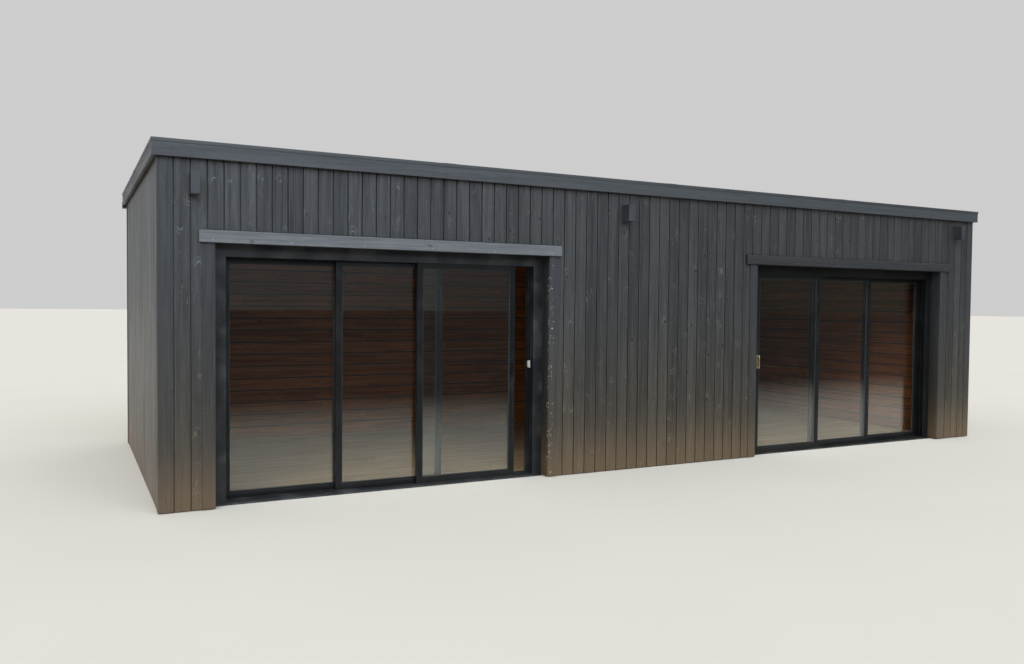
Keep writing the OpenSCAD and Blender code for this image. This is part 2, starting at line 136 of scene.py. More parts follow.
def connect(tree, colour, roughness=None, height=None, **relief):
    """Link a colour to a material's shader, and a roughness and a relief where they are given."""
    shader = tree.nodes["Principled BSDF"].inputs
    tree.links.new(colour, shader["Base Color"])
    if roughness is not None:
        tree.links.new(roughness, shader["Roughness"])
    if height is not None:
        bump = add_node(tree, "ShaderNodeBump", {"Height": height, **relief})
        tree.links.new(bump.outputs[0], shader["Normal"])


def make_camera():
    camera = bpy.data.objects.new("camera", bpy.data.cameras.new("camera"))
    camera.data.lens = CAMERA_LENS
    turned = Matrix.Rotation(CAMERA_YAW, 4, "Z") @ Matrix.Rotation(CAMERA_PITCH, 4, "X")
    turned = turned @ Matrix.Rotation(CAMERA_ROLL, 4, "Z")
    camera.matrix_world = Matrix.Translation(CAMERA_PLACE) @ turned
    bpy.context.collection.objects.link(camera)
    bpy.context.scene.camera = camera
    bpy.context.scene.view_settings.view_transform = "Standard"


def make_sky():
    """A soft sky with a glow in front, over a dark screen that is taller towards the right. The
    camera itself sees a plain pale backdrop."""
    world = bpy.data.worlds.new("sky")
    bpy.context.scene.world = world
    world.use_nodes = True
    tree = world.node_tree
    towards = add_node(tree, "ShaderNodeTexCoord", {}).outputs["Generated"]
    aim = split(tree, towards)
    colour = blended(tree, ramp(tree, aim["Z"], -0.05, 0.75), LOW_SKY, HIGH_SKY)
    near_glow = vector_sums(tree, "DOT_PRODUCT", towards, GLOW_AIM)["Value"]
    colour = blended(tree, ramp(tree, near_glow, 0.66, 0.97), colour, GLOW)
    in_front = ramp(tree, aim["Y"], 0.05, -0.35)
    to_right = times(tree, in_front, ramp(tree, aim["X"], 0.42, 0.86))
    colour = blended(tree, to_right, colour, grey(0.12), 0.85)
    low_in_front = times(tree, in_front, ramp(tree, aim["Z"], 0.26, 0.12))
    colour = blended(tree, low_in_front, colour, SCREEN, 0.97)
    seen = add_node(tree, "ShaderNodeLightPath", {}).outputs["Is Camera Ray"]
    colour = blended(tree, seen, colour, grey(0.72))
    background = tree.nodes["Background"]
    tree.links.new(colour, background.inputs["Color"])
    background.inputs["Strength"].default_value = 0.85


def make_lamp():
    lamp = bpy.data.lights.new("soft_lamp", "SUN")
    lamp.energy = 1.1
    lamp.angle = radians(28)
    holder = bpy.data.objects.new("soft_lamp", lamp)
    holder.matrix_world = Matrix.Rotation(LAMP_TURN, 4, "Z") @ Matrix.Rotation(LAMP_TILT, 4, "X")
    bpy.context.collection.objects.link(holder)


def make_ground():
    """A plain pale floor, of which the panes mirror only the part near the doors."""
    bpy.ops.mesh.primitive_plane_add(size=GROUND_SIZE, location=(0, 0, 0))
    ground = bpy.context.object
    ground.name = "ground"
    finish, tree, place = new_material("pale floor", Roughness=0.75, Specular_IOR_Level=0.0)
    pale = blended(tree, noise(tree, place, 0.6), (0.6, 0.56, 0.485, 1), (0.63, 0.59, 0.515, 1))
    path = add_node(tree, "ShaderNodeLightPath", {}).outputs
    mirrored = sums(tree, "MAXIMUM", path["Is Glossy Ray"], path["Is Transmission Ray"])
    far = ramp(tree, split(tree, place)["Y"], -2.6, -9.5)
    connect(tree, blended(tree, times(tree, mirrored, far), pale, grey(0.04)))
    ground.data.materials.append(finish)


make_camera()
make_sky()
make_lamp()
make_ground()


# The walls' cores: framed and sheathed wall panels that carry the boards outside and the lining
# inside. They show only as dark strips behind the open joints of both.
def wall_sheathing():
    finish, tree, place = new_material("wall sheathing", Roughness=0.85)
    flakes = add_node(tree, "ShaderNodeTexVoronoi", {"Vector": place, "Scale": 45}).outputs
    wood = blended(tree, flakes["Color"], (0.045, 0.032, 0.022, 1), (0.075, 0.052, 0.034, 1))
    shade = blended(tree, noise(tree, place, 14, 4), wood, (0.03, 0.022, 0.016, 1))
    connect(tree, shade, height=flakes["Distance"], Strength=0.3)
    return finish


def finish_node(name, finish):
    """Give a node of the construction its material."""
    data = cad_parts[name].data
    data.materials.clear()
    data.materials.append(finish)


sheathing = wall_sheathing()
for core in ("front_wall_left", "front_wall_middle", "front_wall_right", "front_wall_over_left_door",
             "front_wall_over_right_door", "back_wall", "left_wall", "right_wall"):
    finish_node(core, sheathing)


# The cladding: upright sawn boards with a rebated joint, brushed with a black wood stain. Each is
# nailed to the wall behind, a little out of line with the next, and shows a dark gap of 10 mm.
BOARD_COVER = 0.1255
BOARD_GAP = 0.010
BOARD_T = 0.022
BOARD_SLACK = 0.0006
BOARD_TWIST = radians(0.2)
JOINT_DEPTH = 0.016
TONGUE_PLAY = 0.0004
ARRIS = 0.003
FIRST_STRIP = 0.024
CASING_W = 0.1
BLACK = (0.0078, 0.0082, 0.0085, 1)
BLACK_WORN = (0.059, 0.0605, 0.061, 1)
PALE_SPECK = (0.42, 0.41, 0.38, 1)
PALE_PAINT = (0.56, 0.55, 0.51, 1)
# Painted warm reflection of the deck, multiplied in low on the boards.
SUN_BROWN = (1.25, 1.0, 0.68, 1)
# Soil brown for flecks near the ground, laid on thick enough to carry part of the deck's painted reflection
# too.
SOIL = (0.2, 0.122, 0.055, 1)
DUST = (0.16, 0.155, 0.145, 1)
GRAIN_TURN = {"X": (0, pi / 2, 0), "Y": (pi / 2, 0, 0), "Z": (0, 0, 0)}

draw = random.Random(11)


def deselect():
    """Leave edit mode and clear the selection."""
    if bpy.context.mode != "OBJECT":
        bpy.ops.object.mode_set(mode="OBJECT")
    bpy.ops.object.select_all(action="DESELECT")


def choose(piece):
    """Select one piece alone."""
    deselect()
    piece.select_set(True)
    bpy.context.view_layer.objects.active = piece


def edit(piece):
    """Start editing one piece with nothing in it selected."""
    choose(piece)
    bpy.ops.object.mode_set(mode="EDIT")
    bpy.ops.mesh.select_all(action="DESELECT")


def pick(piece, kind, test):
    """Select the faces whose middle and normal pass the test, or the edges whose two ends pass it."""
    bpy.ops.mesh.select_mode(type=kind)
    bpy.ops.mesh.select_all(action="DESELECT")
    shape = bmesh.from_edit_mesh(piece.data)
    if kind == "FACE":
        picked = [face for face in shape.faces if test(face.calc_center_median(), face.normal)]
    else:
        picked = [edge for edge in shape.edges if test(edge.verts[0].co, edge.verts[1].co)]
    for part in picked:
        part.select_set(True)
    bmesh.update_edit_mesh(piece.data)


def extrude(*move):
    """Extrude the selected faces and move them."""
    bpy.ops.mesh.extrude_region_move(TRANSFORM_OT_translate={"value": move})


def slice_across(axis, place, cleared=0):
    """Slice what is being edited at a place on an axis. With -1 or 1, clear it beyond on that side."""
    spot = Vector((0, 0, 0))
    spot[axis] = place
    normal = Vector((0, 0, 0))
    normal[axis] = cleared or 1
    clear = bool(cleared)
    bpy.ops.mesh.select_all(action="SELECT")
    bpy.ops.mesh.bisect(plane_co=spot, plane_no=normal, use_fill=clear, clear_outer=clear)


def block(name, low, high):
    """A block between two corners, with its place in its mesh."""
    deselect()
    low = Vector(low)
    high = Vector(high)
    bpy.ops.mesh.primitive_cube_add(size=1, location=(low + high) / 2)
    piece = bpy.context.object
    piece.name = name
    piece.scale = high - low
    bpy.ops.object.transform_apply(location=True, rotation=True, scale=True)
    return piece


def use_modifier(piece, kind, **settings):
    """Add a modifier to a piece and apply it."""
    choose(piece)
    modifier = piece.modifiers.new(kind.lower(), kind)
    for name, value in settings.items():
        setattr(modifier, name, value)
    bpy.ops.object.modifier_apply(modifier=modifier.name)


def round_edges(piece, width, segments=2):
    """Round every sharp edge and keep the broad faces flat. One segment makes a plain chamfer."""
    limit = radians(30)
    use_modifier(piece, "BEVEL", width=width, segments=segments, limit_method="ANGLE", angle_limit=limit)
    if segments > 1:
        bpy.ops.object.shade_smooth_by_angle(angle=radians(50))
        use_modifier(piece, "WEIGHTED_NORMAL", keep_sharp=True)


def cut_out(piece, low, high):
    """Cut a box out of a piece."""
    cutter = block("cutter", low, high)
    use_modifier(piece, "BOOLEAN", operation="DIFFERENCE", solver="EXACT", object=cutter)
    bpy.data.objects.remove(cutter)


def join(name, pieces):
    """Make one piece of several."""
    choose(pieces[0])
    for piece in pieces[1:]:
        piece.select_set(True)
    if len(pieces) > 1:
        bpy.ops.object.join()
    pieces[0].name = name
    return pieces[0]


def copy_of(piece, move=Matrix()):
    """A copy with its own mesh, which takes the move."""
    made = bpy.data.objects.new(piece.name, piece.data.copy())
    bpy.context.collection.objects.link(made)
    made.data.transform(move)
    return made


def mark_board(piece):
    """Give all faces of one board the same random number, for its grain and tone."""
    mark = piece.data.attributes.new("board", "FLOAT", "FACE")
    value = draw.random()
    mark.data.foreach_set("value", [value] * len(piece.data.polygons))


def dressed(piece, finish, replaced=(), body="building"):
    """Give a finished piece its material, its body and the nodes that it stands for."""
    piece.data.materials.clear()
    piece.data.materials.append(finish)
    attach(piece, body)
    if replaced:
        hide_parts(*replaced)


def cladding_board(height):
    """One board with its face towards -Y, its back on Y 0, and a tongue at its right edge."""
    tongue_y = JOINT_DEPTH - BOARD_T
    board = block("board", (0, -BOARD_T, 0), (BOARD_COVER - BOARD_GAP, 0, height))
    edit(board)
    slice_across(1, tongue_y)
    pick(board, "FACE", lambda middle, normal: normal.x > 0.5 and middle.y > tongue_y)
    extrude(BOARD_GAP - TONGUE_PLAY, 0, 0)
    pick(board, "EDGE", lambda a, b: max(a.y, b.y) < tongue_y - 0.001 and abs(a.x - b.x) < 0.001)
    bpy.ops.mesh.bevel(offset=ARRIS, segments=2, affect="EDGES")
    deselect()
    return board


def clad_wall(name, along, first, low, high, turn):
    """Lay boards side by side between two corners, with the face turned to the outside, and cut the
    wall off square at both ends."""
    pattern = cladding_board(high.z - low.z)
    facing = Matrix.Rotation(turn, 4, "Z")
    middle = (low + high) / 2 + facing @ Vector((0, BOARD_T / 2, 0))
    boards = []
    for i in range(ceil((high[along] - first) / BOARD_COVER)):
        spot = middle.copy()
        spot[along] = first + i * BOARD_COVER
        spot.z = low.z
        if turn in (pi, -pi / 2):
            spot[along] += BOARD_COVER - BOARD_GAP
        spot += facing @ Vector((0, draw.uniform(-BOARD_SLACK, 0), 0))
        twisted = Matrix.Rotation(turn + draw.uniform(-BOARD_TWIST, BOARD_TWIST), 4, "Z")
        board = copy_of(pattern, Matrix.Translation(spot) @ twisted)
        mark_board(board)
        boards.append(board)
    bpy.data.objects.remove(pattern)
    wall = join(name, boards)
    edit(wall)
    slice_across(along, low[along], -1)
    slice_across(along, high[along], 1)
    deselect()
    return wall


def new_group(name, **inputs):
    """An empty node group, and what it is given."""
    group = bpy.data.node_groups.new(name, "ShaderNodeTree")
    for socket, kind in inputs.items():
        group.interface.new_socket(name=socket, in_out="INPUT", socket_type="NodeSocket" + kind)
    return group, group.nodes.new("NodeGroupInput").outputs


def put_out(group, **results):
    """Give a node group its outputs, which are all plain values."""
    for name in results:
        group.interface.new_socket(name=name, in_out="OUTPUT", socket_type="NodeSocketFloat")
    ends = group.nodes.new("NodeGroupOutput").inputs
    for name, value in results.items():
        group.links.new(value, ends[name])
    return group


def effect(tree, group, **given):
    """Place a node group in a material."""
    return add_node(tree, "ShaderNodeGroup", given, node_tree=group).outputs


def wood_grain_group():
    """Grain that runs along Z, different on each board: streaks, growth rings, knots with pale brushed arcs
    beside them that also paint a sheen off the raised grain, and small pale specks."""
    group, given = new_group("wood grain", Vector="Vector", Board="Float")

    def scaled(vector, scale):
        return vector_sums(group, "MULTIPLY", vector, scale)[0]

    def added(first, second):
        return vector_sums(group, "ADD", first, second)[0]

    place = added(given["Vector"], scaled(given["Board"], (31, 17, 43)))

    def drawn_out(scale, detail=2):
        return noise(group, scaled(place, scale), 1, detail)

    streaks = times(group, drawn_out((170, 170, 4), 3), 0.26)
    streaks = sums(group, "ADD", streaks, times(group, drawn_out((75, 75, 2.4)), 0.28))
    streaks = sums(group, "ADD", streaks, times(group, drawn_out((28, 28, 0.8)), 0.46))

    inputs = {"Vector": place, "Scale": 22, "Detail": 2}
    sway = add_node(group, "ShaderNodeTexNoise", inputs).outputs["Color"]
    bent = added(scaled(place, (7.5, 7.5, 4.4)), scaled(sway, (0.3, 0.3, 0.24)))
    cells = add_node(group, "ShaderNodeTexVoronoi", {"Vector": bent, "Scale": 1}).outputs
    distance = cells["Distance"]
    knots = ramp(group, distance, 0.10, 0.06)
    bend = ramp(group, distance, 0.42, 0.0)
    wander = drawn_out((9, 9, 0.75))
    phase = sums(group, "ADD", times(group, wander, 90), times(group, bend, 26))
    rings = ramp(group, sums(group, "SINE", phase, 0), -0.6, 1)

    # Pale arcs beside each knot: brushed marks, which also stand for a painted sheen off the raised grain.
    arcs = sums(group, "SINE", times(group, distance, 40), 0)
    near = times(group, ramp(group, distance, 0.46, 0.26), ramp(group, distance, 0.08, 0.14))
    scuffs = times(group, near, ramp(group, arcs, 0.2, 1.0))
    scuffs = times(group, scuffs, ramp(group, drawn_out((13, 13, 10)), 0.42, 0.6))
    offset = vector_sums(group, "SUBTRACT", bent, cells["Position"])[0]
    aim = added(cells["Color"], (-0.5, -0.5, -0.5))
    side = vector_sums(group, "DOT_PRODUCT", offset, aim)["Value"]
    scuffs = times(group, scuffs, ramp(group, sums(group, "DIVIDE", side, distance), 0.06, 0.36))

    dots = add_node(group, "ShaderNodeTexVoronoi", {"Vector": scaled(place, (34, 34, 22)), "Scale": 1})
    few = add_node(group, "ShaderNodeSeparateColor", {0: dots.outputs["Color"]}).outputs[0]
    specks = ramp(group, dots.outputs["Distance"], 0.075, 0.045)
    specks = times(group, specks, ramp(group, few, 0.9, 0.92))

    height = sums(group, "ADD", times(group, streaks, 0.8), times(group, rings, 0.18))
    height = sums(group, "SUBTRACT", height, times(group, knots, 0.3))
    return put_out(group, Streaks=streaks, Rings=rings, Knots=knots, Scuffs=scuffs, Specks=specks,
                   Height=height)


def weather_group():
    """Dust on what faces up; flecks of brown soil that fade out above the ground, laid on thick enough to
    carry part of the deck's painted warm reflection; a painted warm reflection of the deck that grows towards
    the ground; and lighter arrises, which face between two axes, where the stain is worn and a highlight is
    painted."""
    group, given = new_group("weather", Vector="Vector")
    place = given["Vector"]
    height = split(group, place)["Z"]
    geometry = add_node(group, "ShaderNodeNewGeometry", {}).outputs
    parts = split(group, vector_sums(group, "ABSOLUTE", geometry["True Normal"])[0])
    largest = sums(group, "MAXIMUM", sums(group, "MAXIMUM", parts["X"], parts["Y"]), parts["Z"])
    facing_up = ramp(group, split(group, geometry["Normal"])["Z"], 0.3, 0.95)
    dust = times(group, facing_up, ramp(group, noise(group, place, 6, 5), 0.3, 0.7))
    low = ramp(group, height, 0.85, 0.0)
    flecks = ramp(group, noise(group, place, 130), 0.4, 0.7, 0.55, 1)
    splash = times(group, times(group, low, low), flecks)
    return put_out(group, Dust=dust, Splash=splash, Warmth=ramp(group, height, 2.0, 0.3),
                   Arris=ramp(group, largest, 0.995, 0.95))


wood_grain = wood_grain_group()
weather = weather_group()


def paint_drops(tree, place, edge):
    """Drops of many sizes, in patches within a few centimetres right of an edge at one X."""
    drops = add_node(tree, "ShaderNodeTexVoronoi", {"Vector": place, "Scale": 62}).outputs
    chance = add_node(tree, "ShaderNodeSeparateColor", {0: drops["Color"]}).outputs
    patches = ramp(tree, noise(tree, place, 9, 3), 0.4, 0.5)
    few = times(tree, ramp(tree, chance["Red"], 0.8, 0.84), patches)
    spread = sums(tree, "DIVIDE", drops["Distance"], ramp(tree, chance["Green"], 0, 1, 0.6, 1.4))
    few = times(tree, few, ramp(tree, split(tree, place)["X"], edge + 0.07, edge + 0.03))
    return times(tree, ramp(tree, spread, 0.38, 0.25), few)


def stained_boards(name, along, dark, light, roughness=0.62, relief=0.0011, scuffs=1.0, dirt=1.0,
                   spatter=None, ior=1.45):
    """Sawn softwood under a dark stain that is thin on the ridges of the grain. Spatter is the X of an
    edge where drops of pale paint have dried."""
    finish, tree, place = new_material(name, IOR=ior)
    inputs = {"Vector": place, "Rotation": GRAIN_TURN[along]}
    turned = add_node(tree, "ShaderNodeMapping", inputs).outputs[0]
    board = add_node(tree, "ShaderNodeAttribute", {}, attribute_name="board").outputs["Fac"]
    grain = effect(tree, wood_grain, Vector=turned, Board=board)
    around = effect(tree, weather, Vector=place)

    streaks = ramp(tree, grain["Streaks"], 0.36, 0.64, 0.05, 0.66)
    stain = blended(tree, sums(tree, "ADD", streaks, times(tree, board, 0.28)), dark, light)
    stain = blended(tree, grain["Rings"], stain, dark, 0.28)
    # Lighter arrises: the stain worn thin there, with a painted highlight along them.
    stain = blended(tree, around["Arris"], stain, light, 0.6)
    stain = blended(tree, grain["Knots"], stain, grey(0.007), 0.5)
    pale = tuple(min(1, 2.6 * part + 0.12) for part in light[:3]) + (1,)
    # Pale arcs round the knots, partly brushed marks and partly a painted sheen of the raised grain.
    stain = blended(tree, grain["Scuffs"], stain, pale, min(1, 0.29 * scuffs))
    stain = blended(tree, grain["Specks"], stain, PALE_SPECK, min(1, 0.85 * scuffs))
    if spatter is not None:
        stain = blended(tree, paint_drops(tree, place, spatter), stain, PALE_PAINT, 0.9)
    # Painted warm reflection of the deck, growing towards the ground.
    stain = blended(tree, around["Warmth"], stain, SUN_BROWN, 0.9 * dirt, "MULTIPLY")
    # Brown soil flecks near the ground, partly real soil and partly a painted warm reflection of the deck.
    stain = blended(tree, around["Splash"], stain, SOIL, 0.5 * dirt)
    stain = blended(tree, around["Dust"], stain, DUST, 0.4 * dirt)
    gloss = ramp(tree, grain["Streaks"], 0.35, 0.65, roughness + 0.12, roughness - 0.12)
    gloss = sums(tree, "SUBTRACT", gloss, times(tree, grain["Knots"], 0.15))
    connect(tree, stain, gloss, grain["Height"], Distance=relief)
    return finish


doorways = {door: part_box(door + "_door_frame") for door in ("left", "right")}
upright_stain = stained_boards("black stained boards", "Z", BLACK, BLACK_WORN, roughness=0.45)

low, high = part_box("front_cladding")
front_boards = clad_wall("front_boards", 0, low.x + FIRST_STRIP - BOARD_COVER, low, high, 0)
for door, (way_low, way_high) in doorways.items():
    trim_low, trim_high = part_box(door + "_door_surround")
    cut_out(front_boards, (way_low.x - CASING_W, trim_low.y, -1),
            (way_high.x + CASING_W, trim_high.y, way_high.z))
    cut_out(front_boards, (trim_low.x, trim_low.y, way_high.z), trim_high)
dressed(front_boards, upright_stain, ["front_cladding"])

for side, along, turn in (("back", 0, pi), ("left", 1, -pi / 2), ("right", 1, pi / 2)):
    low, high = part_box(side + "_cladding")
    wall = clad_wall(side + "_boards", along, low[along], low, high, turn)
    dressed(wall, upright_stain, [side + "_cladding"])


# The corner boards: two planed boards butted together at each corner of the body, stained like
# the cladding and standing a little proud of it. The end boards tuck in behind the front ones.
CORNER_W = 0.1
CORNER_T = 0.028
PLANED_ARRIS = 0.003
PLANED = (0.014, 0.0152, 0.0165, 1)
PLANED_WORN = (0.04, 0.043, 0.047, 1)


def boards_at(name, spots, arris=PLANED_ARRIS, segments=2):
    """Planed boards between pairs of corners, with rounded arrises."""
    pattern = block("board", (0, 0, 0), (1, 1, 1))
    boards = []
    for low, high in spots:
        size = Vector(high) - Vector(low)
        board = copy_of(pattern, Matrix.Translation(low) @ Matrix.Diagonal(size).to_4x4())
        mark_board(board)
        boards.append(board)
    bpy.data.objects.remove(pattern)
    made = join(name, boards)
    round_edges(made, arris, segments)
    return made


def corner_boards(side):
    """The four boards of the two corners of the front or of the back."""
    low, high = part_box(side + "_corner_trims")
    face_y, inward_y = (low.y, 1) if side == "front" else (high.y, -1)
    back_y = face_y + inward_y * CORNER_T
    spots = []
    for x, inward in ((low.x, 1), (high.x, -1)):
        outer = (x, face_y), (x + inward * CORNER_W, back_y)
        tucked = (x, back_y), (x + inward * CORNER_T, face_y + inward_y * CORNER_W)
        for (x0, y0), (x1, y1) in (outer, tucked):
            spots.append(((min(x0, x1), min(y0, y1), low.z), (max(x0, x1), max(y0, y1), high.z)))
    return boards_at(side + "_corner_boards", spots)


planed_stain = stained_boards(
    "black stained trim", "Z", PLANED, PLANED_WORN, roughness=0.56, relief=0.0006, scuffs=0.25)
for side in ("front", "back"):
    dressed(corner_boards(side), planed_stain, [side + "_corner_trims"])


# The fascias: one deep planed board on each side under the roof's edge, nailed to the deck and
# stained a little greyer than the walls.
FASCIA_ARRIS = 0.002


def eased(node, arris, segments=2):
    """A copy of a piece of the construction with its arrises rounded."""
    piece = copy_of(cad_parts[node])
    piece.name = node + "_eased"
    if piece.data.has_custom_normals:
        choose(piece)
        bpy.ops.mesh.customdata_custom_splitnormals_clear()
    edit(piece)
    bpy.ops.mesh.select_all(action="SELECT")
    bpy.ops.mesh.remove_doubles(threshold=0.00005)
    bpy.ops.mesh.dissolve_limited(angle_limit=radians(0.5))
    deselect()
    round_edges(piece, arris, segments)
    return piece


def stains_along(names, dark, light, **values):
    """One stain with its grain along two axes, by axis, from the name that it has along each."""
    return {along: stained_boards(name, along, dark, light, **values) for along, name in names.items()}


fascia_stains = stains_along(
    {"X": "grey stained fascia", "Y": "grey stained end fascia"},
    (0.027, 0.030, 0.033, 1), (0.058, 0.063, 0.068, 1), roughness=0.5, relief=0.0004, scuffs=0.3)
for side, along in (("front", "X"), ("back", "X"), ("left", "Y"), ("right", "Y")):
    fascia = eased(side + "_fascia", FASCIA_ARRIS)
    mark_board(fascia)
    dressed(fascia, fascia_stains[along], [side + "_fascia"])


# The roof: a sheathed deck with a kerb on three sides under one rubber sheet, which is glued down,
# turned up the kerb and lapped over the back. It drains to the back and lies dusty and faintly creased.
def roof_rubber():
    finish, tree, place = new_material("roof rubber", IOR=1.5)
    ponds = noise(tree, place, 0.9, 5)
    inputs = {"Vector": place, "Scale": 1.3, "Detail": 2, "Distortion": 0.6}
    creases = add_node(tree, "ShaderNodeTexNoise", inputs).outputs[0]
    rubber = blended(tree, ramp(tree, ponds, 0.35, 0.65), (0.018, 0.019, 0.02, 1), (0.034, 0.035, 0.036, 1))
    dust = effect(tree, weather, Vector=place)["Dust"]
    rubber = blended(tree, dust, rubber, (0.15, 0.145, 0.13, 1), 0.35)
    connect(tree, rubber, ramp(tree, ponds, 0.35, 0.65, 0.5, 0.72), creases, Distance=0.02, Strength=0.25)
    return finish


FINE_ARRIS = 0.0008

finish_node("roof_deck", sheathing)
dressed(eased("roof_sheet", FINE_ARRIS), roof_rubber(), ["roof_sheet"])


# The roof's edge trim: lengths of folded metal with a baked grey coat, capping kerb and fascia on
# three sides. A sleeve covers each joint, and small screws hold the lip to the fascia.
TRIM_ARRIS = 0.0012
LIP_DROP = 0.028
SLEEVE_W = 0.11
SLEEVE_T = 0.0014
SLEEVE_LAP = 0.004
SLEEVE_PITCH = 2.5
SCREW_T = 0.0012
SCREW_DOME = 0.0002
SOCKET_DEPTH = 0.0009
LIP_SCREW_R = 0.0035
LIP_SCREW_RISE = 0.012
FRONT_SCREWS = 20
SIDE_SCREWS = 8


def coated_metal_group():
    """The fine waviness of a baked coat, and the faint grime that gathers on it."""
    group, given = new_group("coated metal", Vector="Vector")
    peel = noise(group, given["Vector"], 420, 1)
    grime = noise(group, given["Vector"], 5, 6)
    return put_out(group, Peel=peel, Grime=ramp(group, grime, 0.4, 0.72))


coated_metal = coated_metal_group()


def coated(name, colour, roughness, metallic=0.0, grime=0.25, ior=1.5):
    """Metal or plastic with a thin even coat that is dusty where it faces up."""
    finish, tree, place = new_material(name, Metallic=metallic, IOR=ior)
    coat = effect(tree, coated_metal, Vector=place)
    around = effect(tree, weather, Vector=place)
    dusty = tuple(0.8 * part + 0.035 for part in colour[:3]) + (1,)
    shade = blended(tree, coat["Grime"], colour, dusty, grime)
    shade = blended(tree, around["Dust"], shade, DUST, 0.3)
    gloss = ramp(tree, coat["Grime"], 0, 1, roughness, roughness + 0.14)
    connect(tree, shade, gloss, coat["Peel"], Distance=0.00012, Strength=0.5)
    return finish


def spaced(low, high, count, inset=None):
    """Places at equal steps between two ends, the outer ones half a step or the inset from them."""
    if inset is None:
        inset = (high - low) / count / 2
    step = (high - low - 2 * inset) / (count - 1)
    return [low + inset + i * step for i in range(count)]


def add_screws(name, spots, facing, radius, finish, body="building"):
    """Low round screw heads with a socket, one at each spot, facing an axis such as -Y."""
    deselect()
    bpy.ops.mesh.primitive_cylinder_add(vertices=14, radius=radius, depth=SCREW_T,
                                        location=(0, 0, SCREW_T / 3))
    pattern = bpy.context.object
    bpy.ops.object.transform_apply(location=True)
    edit(pattern)
    pick(pattern, "FACE", lambda middle, normal: normal.z > 0.9)
    bpy.ops.mesh.inset(thickness=radius * 0.16)
    bpy.ops.transform.translate(value=(0, 0, SCREW_DOME))
    bpy.ops.mesh.inset(thickness=radius * 0.45)
    extrude(0, 0, -SOCKET_DEPTH)
    deselect()
    turn = Vector((0, 0, 1)).rotation_difference(Vector(facing)).to_matrix().to_4x4()
    heads = [copy_of(pattern, Matrix.Translation(spot) @ turn) for spot in spots]
    bpy.data.objects.remove(pattern)
    dressed(join(name, heads), finish, [], body)


def edge_sleeve(low, high, along, outward):
    """One sleeve over the trim: its top and its outer lip, folded from thin metal."""
    grown_low = Vector(low)
    grown_high = Vector(high) + Vector((0, 0, SLEEVE_T))
    hollow_low = Vector(low) - Vector((1, 1, 1))
    hollow_high = Vector(high) + Vector((1, 1, 0))
    across = 1 - along
    if outward < 0:
        grown_low[across] -= SLEEVE_T
        hollow_low[across] = low[across]
    else:
        grown_high[across] += SLEEVE_T
        hollow_high[across] = high[across]
    sleeve = block("sleeve", grown_low, grown_high)
    cut_out(sleeve, hollow_low, hollow_high)
    return sleeve


trim_metal = coated("edge trim metal", (0.052, 0.055, 0.058, 1), 0.42, metallic=0.35)
dressed(eased("roof_edge_trim", TRIM_ARRIS), trim_metal, ["roof_edge_trim"])

low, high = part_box("roof_edge_trim")
trim_w = high.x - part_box("roof_sheet")[1].x + SLEEVE_LAP
lip_z = high.z - LIP_DROP
sleeves = []
run = high.x - low.x
sleeve_count = floor(run / SLEEVE_PITCH)
for x in spaced(low.x, high.x, sleeve_count, run / (sleeve_count + 1)):
    sleeve_low = (x - SLEEVE_W / 2, low.y, lip_z)
    sleeve_high = (x + SLEEVE_W / 2, low.y + trim_w, high.z)
    sleeves.append(edge_sleeve(sleeve_low, sleeve_high, 0, -1))
side_y = (low.y + high.y) / 2
for x, outward in ((low.x, -1), (high.x, 1)):
    inner = x - outward * trim_w
    sleeve_low = (min(x, inner), side_y - SLEEVE_W / 2, lip_z)
    sleeve_high = (max(x, inner), side_y + SLEEVE_W / 2, high.z)
    sleeves.append(edge_sleeve(sleeve_low, sleeve_high, 1, outward))
dressed(join("edge_trim_sleeves", sleeves), trim_metal)

steel = coated("screw steel", (0.32, 0.32, 0.31, 1), 0.35, metallic=0.9)
screw_z = lip_z + LIP_SCREW_RISE
spots = [(x, low.y, screw_z) for x in spaced(low.x, high.x, FRONT_SCREWS)]
add_screws("front_edge_screws", spots, (0, -1, 0), LIP_SCREW_R, trim_metal)
for side, x, facing in (("left", low.x, -1), ("right", high.x, 1)):
    spots = [(x, y, screw_z) for y in spaced(low.y, high.y, SIDE_SCREWS)]
    add_screws(side + "_edge_screws", spots, (facing, 0, 0), LIP_SCREW_R, trim_metal)


# The door surrounds: casings up both sides, a thicker weathered board over the top with a sloped
# top and a drip groove, and reveal boards back to the frame, all nailed to the wall's framing.
CASING_OUT = 0.012
REVEAL_T = 0.02
REVEAL_ARRIS = 0.0015
HEAD_SLOPE = 0.008
HEAD_ARRIS = 0.0025
DRIP_GROOVE = 0.006
HEAD_SCREWS = 6
HEAD_SCREW_R = 0.005
HEAD_SCREW_IN = 0.1


def head_board(name, low, high):
    """The board over a doorway, whose top falls towards the front and whose underside is grooved."""
    board = block(name, low, high)
    edit(board)
    pick(board, "EDGE", lambda a, b: min(a.z, b.z) > high[2] - 0.001 and max(a.y, b.y) < low[1] + 0.001)
    bpy.ops.transform.translate(value=(0, 0, -HEAD_SLOPE))
    for step in (1, 2):
        slice_across(1, low[1] + step * DRIP_GROOVE)
    groove_y = low[1] + 1.5 * DRIP_GROOVE
    near = DRIP_GROOVE / 3
    pick(board, "FACE", lambda middle, normal: normal.z < -0.9 and abs(middle.y - groove_y) < near)
    extrude(0, 0, DRIP_GROOVE)
    deselect()
    round_edges(board, HEAD_ARRIS)
    mark_board(board)
    return board
